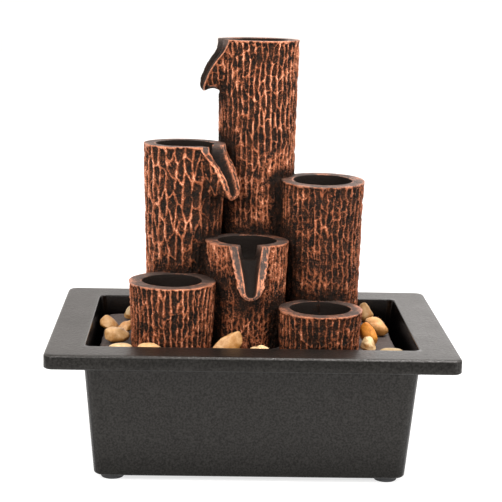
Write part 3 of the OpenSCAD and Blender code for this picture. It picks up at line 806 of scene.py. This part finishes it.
def build_basin():
    """The moulded basin: rounded body, flange with a turned-down skirt, and a cord notch."""
    low, high = box_mm("basin")
    rim_x, rim_y, rim_z = high
    base_z = low[2]
    wall, draft, flange_w, flange_t, skirt = 1.8, 0.083, 19.7, 2.2, 7.5
    corner, edge, bevel, root_r, lip_r = 6.0, 1.5, 0.8, 1.4, 0.7
    opening_x, opening_y = rim_x - flange_w, rim_y - flange_w
    loops = []

    def outside(z):
        lean = draft * (rim_z - z)
        return opening_x + wall - lean, opening_y + wall - lean

    def arc(z, radius, start, end, steps):
        a = np.radians(np.linspace(start, end, steps))
        return [(radius + radius * math.cos(t), z + radius * math.sin(t)) for t in a]

    def at(half_size, grow, z, radius):
        """A loop this much bigger than half_size on each side."""
        loops.append(round_loop(half_size[0] + grow, half_size[1] + grow, radius, z))

    # up the outside
    foot = outside(base_z + edge)
    for inset, z in arc(base_z + edge, edge, 270, 180, 6):
        at(foot, -inset, z, max(corner - inset * 0.5, 1.5))
    for z in np.linspace(base_z + edge, rim_z - flange_t - root_r, 7)[1:]:
        at(outside(z), 0, z, corner)
    for out, z in arc(rim_z - flange_t - root_r, root_r, 180, 90, 5)[1:]:
        at(outside(rim_z - flange_t), out, z, corner + 0.5)
    # round the flange and its skirt
    rim = (rim_x, rim_y)
    for grow, z, radius in ((-wall - 1.0, -flange_t, 3.4), (-wall, -flange_t - 1.0, 3.4),
                            (-wall, -skirt + 0.4, 3.4), (-wall + 0.4, -skirt, 3.8),
                            (-0.5, -skirt, 4.6), (0, -skirt + 0.5, 5.0)):
        at(rim, grow, rim_z + z, radius)
    bevel_in = bevel + 0.2
    for inset, z in ((0, -bevel_in), (0.12, -bevel), (bevel, -0.12), (bevel_in, 0)):
        at(rim, -inset, rim_z + z, 5.0 - inset * 0.6)
    for f in np.linspace(0, 1, 9)[1:]:
        at(rim, -bevel_in + (lip_r - flange_w + bevel_in) * f, rim_z, 4.2)
    # down the inside
    for out, z in arc(rim_z - lip_r, lip_r, 90, 180, 5)[1:]:
        at((opening_x, opening_y), out, z, 4.2)
    floor_z = base_z + 2.0
    for z in np.linspace(rim_z - lip_r, floor_z + edge, 8)[1:]:
        at(outside(z), -wall, z, corner - wall)
    for inset, z in arc(floor_z + edge, edge, 180, 270, 6)[1:]:
        at(outside(floor_z + edge), -wall - inset, z, max(corner - wall - inset * 0.5, 1.2))
    obj = make_mesh("basin_shell", *loft(loops))
    carve(obj, block("notch_cut", (NOTCH_LOW, opening_y - 6.2, rim_z - skirt),
                     (NOTCH_HIGH, rim_y + 5, rim_z + 2)))
    smooth_faces(obj.data, 40)

    # where the shell is inside; painted shade as less sheen on the skirt and lower down, and a painted
    # highlight as more sheen on the bevel
    co = np.array([v.co for v in obj.data.vertices]) / MM
    z = co[:, 2]
    past_x, past_y = (np.abs(co[:, k]) - outside(z)[k] for k in (0, 1))
    inside = smoothstep(0.8, 1.7, np.minimum(-past_x, -past_y)) * (z > base_z + 1.0)
    skirt_face = (np.abs(z - rim_z + skirt / 2) < skirt / 2 - bevel + 0.1) & (
        np.maximum(past_x, past_y) > 10)
    sheen = np.where(skirt_face, 0.62, 0.58 + 0.32 * smoothstep(base_z, base_z + 20, z))
    sheen = np.where(z > rim_z - bevel - 0.1, 1.0, sheen)
    sheen = np.where(np.abs(z - rim_z + bevel / 2) < bevel / 2 + 0.01, 1.9, sheen)
    set_values(obj.data, {"inside": inside, "sheen": sheen * (1 - 0.4 * inside)})
    place(obj, basin_material(), "basin", "basin")


def build_feet(rubber):
    """Round stick-on rubber feet with a soft lower edge and a shallow dimple."""
    for end in ("front_left", "front_right", "rear_left", "rear_right"):
        node = "foot_" + end
        low, high = box_mm(node)
        cx, cy = (low[:2] + high[:2]) / 2
        r, h = (high[0] - low[0]) / 2, high[2] - low[2]
        profile = [(0.12, 0.35), (0.5, 0.3), (0.62, 0.02), (0.70, 0.0), (0.86, 0.0), (0.93, 0.12),
                   (0.965, 0.4), (0.985, 0.9), (1, h - 0.5), (0.99, h - 0.15), (0.96, h - 0.02),
                   (0.5, h - 0.02)]
        loops = [ring(share * r, z, 48, cx, cy) for share, z in profile]
        place(make_mesh(node + "_pad", *loft(loops)), rubber, "basin", node)


# ---------------- deck and pebbles

def build_deck():
    """The cast deck: uneven top, worn edges, four legs, a hose hole and a cord notch."""
    low, high = box_mm("deck")
    half_w, half_d = (high[0] - low[0]) / 2, (high[1] - low[1]) / 2
    mid_x, mid_y = (low[0] + high[0]) / 2, (low[1] + high[1]) / 2
    top, thick = high[2], 6.0
    period = 400.0
    margin, leg_inset, hose_hole_r, wear, pitting = 8, 12, 7.5, 0.9, 0.5
    loops = []

    def loop_at(inset, z, radius):
        loops.append(round_loop(half_w - inset, half_d - inset, radius, top + z, 8, 60))
        loops[-1][:, :2] += mid_x, mid_y
        return loops[-1]

    shape = [(6, -thick, 3), (0.9, -thick, 6), (0.2, -thick + 0.6, 6), (0, -thick + 1.6, 6),
             (0, -2.6, 6), (0.1, -1.4, 6), (0.5, -0.7, 6), (1.1, -0.25, 5.6), (2.0, -0.05, 5.2)]
    for row in shape:
        loop = loop_at(*row)
        x, y = loop[:, 0] - mid_x, loop[:, 1] - mid_y
        nudge = wear * (0.5 + 0.5 * wave_noise(7, x, y, 60, 6, 20, period))
        loop[:, 0] -= np.sign(x) * nudge * (np.abs(x) > half_w - margin)
        loop[:, 1] -= np.sign(y) * nudge * (np.abs(y) > half_d - margin)
    for inset in np.arange(3.2, half_d - 2, 2.2):
        loop = loop_at(inset, 0, max(5.2 - inset * 0.3, 0.6))
        x, y = loop[:, 0], loop[:, 1]
        loop[:, 2] -= pitting * (0.5 + 0.5 * wave_noise(5, x, y, 30, 14, period=period)) * 0.6
        loop[:, 2] -= pitting * 0.5 * np.abs(wave_noise(6, x, y, 110, 4, 20, period))
    obj = make_mesh("deck_slab", *loft(loops))
    under = top - thick
    carve(obj, rod("hose_hole", *LOGS["tall_log"]["at"], hose_hole_r, under - 2, top + 2))
    carve(obj, block("cord_cut", (NOTCH_LOW, high[1] - 5, under - 2),
                     (NOTCH_HIGH, high[1] + 5, top + 2)))
    profile = [(3.9, low[2]), (4.4, low[2] + 0.4), (4.5, low[2] + 1.2), (5.4, under - 2.5),
               (5.8, under - 1.0), (7.0, under)]
    legs = []
    for sx, sy in ((-1, -1), (-1, 1), (1, -1), (1, 1)):
        x, y = mid_x + sx * (half_w - leg_inset), mid_y + sy * (half_d - leg_inset)
        legs.append(make_mesh("leg", *loft([ring(r, z, 40, x, y) for r, z in profile])))
    join(obj, legs)
    smooth_faces(obj.data, 50)
    place(obj, deck_material(), "sculpture", "deck")


def join(obj, others):
    """Adds other meshes to obj's mesh as separate closed shells."""
    mesh = bmesh.new()
    for part in (obj, *others):
        mesh.from_mesh(part.data)
    mesh.to_mesh(obj.data)
    mesh.free()
    for part in others:
        bpy.data.objects.remove(part)


def islands(node):
    """The separate solids in a CAD node, as boxes in millimetres, in the order they lie in it."""
    mesh = bmesh.new()
    mesh.from_mesh(NODES[node].data)
    bmesh.ops.remove_doubles(mesh, verts=mesh.verts, dist=1e-6)
    left, boxes = set(mesh.verts), []
    for start in list(mesh.verts):
        if start not in left:
            continue
        stack, group = [start], []
        left.discard(start)
        while stack:
            v = stack.pop()
            group.append(v.co)
            for e in v.link_edges:
                other = e.other_vert(v)
                if other in left:
                    left.discard(other)
                    stack.append(other)
        co = np.array(group) / MM
        boxes.append((co.min(0), co.max(0)))
    mesh.free()
    return sorted(boxes, key=lambda b: tuple(b[0]))


def pebble_mesh(low, high, seed, lean, peak):
    """One river pebble that fills a box: a worn, slightly lopsided stone.

    lean pushes its top to the right, and peak narrows it upwards.
    """
    rng = np.random.default_rng(seed)
    ball = bmesh.new()
    bmesh.ops.create_icosphere(ball, subdivisions=5, radius=1.0)
    co = np.array([v.co for v in ball.verts])
    faces = [[v.index for v in f.verts] for f in ball.faces]
    ball.free()
    shape = np.sign(co) * np.abs(co) ** rng.uniform(0.86, 0.97)
    swell = np.zeros(len(co))
    for _ in range(9):
        direction = rng.normal(size=3)
        size = rng.uniform(0.02, 0.05)
        swell += size * np.sin(co @ direction * rng.uniform(1.6, 3.4) + rng.uniform(0, 6))
    shape = shape * (1 + swell)[:, None]
    for _ in range(3):
        flat = rng.normal(size=3) * (1, 1, 0.7)
        flat /= np.linalg.norm(flat)
        over = np.maximum(shape @ flat - rng.uniform(0.76, 0.9), 0)
        shape -= np.outer(over * 0.65, flat)
    rise = np.clip((shape[:, 2] + 1) / 2, 0, 1)
    shape[:, :2] *= (1 - peak * rise)[:, None]
    shape[:, 0] += lean * rise
    small, big = shape.min(0), shape.max(0)
    return low + (shape - small) / (big - small) * (high - low), faces


# Each pebble from left to right in its group: how amber it is, how pale if it is not
# amber, how far it leans to the right and how peaked it is
PEBBLES = {
    "pebbles_left": [(0.30, 0.45, -0.3, 0.5), (0.25, 0.9, 0.0, 0.0), (0.05, 0.95, 0.0, 0.0),
                     (0.45, 0.6, 0.8, 0.3), (0.0, 0.35, 0.5, 0.2), (0.25, 0.8, 0.1, 0.1)],
    "pebbles_middle": [(0.35, 0.4, 0.8, 0.5), (0.0, 1.0, 0.0, 0.0)],
    "pebbles_right": [(0.0, 0.95, -0.1, 0.5), (1.0, 0.5, -0.5, 0.35), (0.2, 0.2, -0.3, 0.6),
                      (0.45, 0.9, -1.0, 0.0), (0.0, 0.1, 0.0, 0.0)],
    "pebbles_rear": [(0.0, 0.9, 0.2, 0.1), (0.7, 0.5, 0.0, 0.0), (0.1, 0.4, -0.3, 0.2),
                     (0.0, 0.7, 0.0, 0.0)],
}


def build_pebbles():
    stone = pebble_material()
    for group, (node, specs) in enumerate(PEBBLES.items()):
        verts, faces, tints = [], [], []
        for k, ((low, high), (warm, pale, lean, peak)) in enumerate(zip(islands(node), specs)):
            points, sides = pebble_mesh(low, high, 100 * group + k, lean, peak)
            faces += [[i + len(tints) for i in side] for side in sides]
            verts.append(points)
            tints += [(warm, pale)] * len(points)
        warm, pale = zip(*tints)
        obj = make_mesh(node + "_stones", np.concatenate(verts), faces, {"warm": warm, "pale": pale})
        place(obj, stone, "sculpture", node)


# ---------------- pump and hose

def dress_pump(rubber):
    """Materials for the CAD nodes that keep their own shape."""
    black = plastic_material("pump_plastic", (0.022, 0.022, 0.024), 0.40, 2600, 0.00004)
    looks = dict.fromkeys(("pump_housing", "volute_cover", "intake_cover", "outlet_nipple"), black)
    looks |= dict.fromkeys(("rear_bush", "front_bush", "suction_cups", "cable_gland"), rubber)
    looks |= {
        "flow_dial": plastic_material("dial_plastic", (0.10, 0.10, 0.11), 0.45),
        "impeller": plastic_material("rotor_plastic", (0.62, 0.62, 0.58), 0.40),
        "rotor_shaft": plastic_material("shaft_ceramic", (0.78, 0.77, 0.72), 0.18, 900, 0.00001),
        "potting": plastic_material("epoxy", (0.016, 0.016, 0.018), 0.22, 420, 0.00006),
        "seal_ring": rubber_material("seal_rubber", (0.40, 0.075, 0.03)),
        "stator_core": metal_material("lamination_steel", (0.42, 0.43, 0.45), 0.32, 320),
        "stator_coil": metal_material("copper_winding", (0.72, 0.30, 0.12), 0.30, 420),
        "rotor_magnet": metal_material("ferrite", (0.10, 0.10, 0.11), 0.42),
        "supply_hose": hose_material(),
    }
    for node, material in looks.items():
        paint(NODES[node].data, material)
    for node in ("pump_housing", "volute_cover", "intake_cover", "flow_dial", "outlet_nipple",
                 "supply_hose"):
        smooth_faces(NODES[node].data, 30)


# ---------------- camera and light

def make_camera():
    """Eye-level view from a little left of the front, tilted a hair to one side."""
    azimuth, elevation, roll = (math.radians(a) for a in (-1.778, 11.29, 1.296))
    target = Vector((-0.3, 0.0, 113.7)) * MM
    distance = 844.5 * MM
    back = Vector((math.sin(azimuth) * math.cos(elevation), -math.cos(azimuth) * math.cos(elevation),
                   math.sin(elevation)))
    side = Vector((0, 0, 1)).cross(back).normalized()
    up = back.cross(side)
    c, s = math.cos(roll), math.sin(roll)
    right, over = side * c + up * s, up * c - side * s
    spot = target + back * distance
    data = bpy.data.cameras.new("camera")
    data.sensor_width = 36.0
    data.lens = 111.16
    camera = bpy.data.objects.new("camera", data)
    rows = [(right[k], over[k], back[k], spot[k]) for k in range(3)]
    camera.matrix_world = Matrix((*rows, (0, 0, 0, 1)))
    bpy.context.scene.collection.objects.link(camera)
    bpy.context.scene.camera = camera


def area_light(name, position, aim_at, size, power):
    data = bpy.data.lights.new(name, "AREA")
    data.shape = "RECTANGLE"
    data.size, data.size_y = size
    data.energy = power
    light = bpy.data.objects.new(name, data)
    light.location = position
    light.rotation_euler = (Vector(aim_at) - Vector(position)).to_track_quat("-Z", "Y").to_euler()
    bpy.context.scene.collection.objects.link(light)


def make_studio():
    """White sweep that is dimmer towards the camera, pale floor and soft boxes."""
    scene = bpy.context.scene
    world = bpy.data.worlds.new("studio")
    scene.world = world
    world.use_nodes = True
    tree = world.node_tree
    back = tree.nodes["Background"]
    back.inputs["Color"].default_value = (1.0, 0.945, 0.905, 1.0)
    where, split, fade = (tree.nodes.new("ShaderNode" + kind)
                          for kind in ("TexCoord", "SeparateXYZ", "MapRange"))
    for socket, value in zip(RANGE_SOCKETS[1:], (-1.0, -0.2, 0.55, 1.11)):
        fade.inputs[socket].default_value = value
    tree.links.new(where.outputs["Generated"], split.inputs[0])
    tree.links.new(split.outputs[1], fade.inputs["Value"])
    tree.links.new(fade.outputs["Result"], back.inputs["Strength"])
    half = 3000.0
    corners = [(-half, -half, 0), (half, -half, 0), (half, half, 0), (-half, half, 0)]
    floor = make_mesh("floor", corners, [(0, 1, 2, 3)], smooth=False)
    n = Nodes("pale_floor")
    n.put(Base_Color=(0.45, 0.45, 0.45, 1.0), Roughness=0.9, Specular_IOR_Level=0.0,
          Emission_Color=(1.0, 1.0, 1.0, 1.0), Emission_Strength=0.72)
    floor.data.materials.append(n.material)
    area_light("card", (0.45, 1.5, 0.55), (0.1, 0, 0.07), (0.5, 0.6), 0.9)
    area_light("key", (-0.50, -0.85, 0.70), (0, 0, 0.12), (0.5, 0.5), 10.5)
    area_light("fill", (0.75, -0.60, 0.45), (0, 0, 0.12), (0.6, 0.6), 5.0)
    area_light("top", (0.32, -0.05, 1.0), (0, 0, 0.1), (0.4, 0.4), 7.0)
    scene.view_settings.view_transform = "Standard"


make_camera()
make_studio()
build_logs()
build_basin()
foot_rubber = rubber_material("foot_rubber")
build_feet(foot_rubber)
build_deck()
build_pebbles()
dress_pump(foot_rubber)
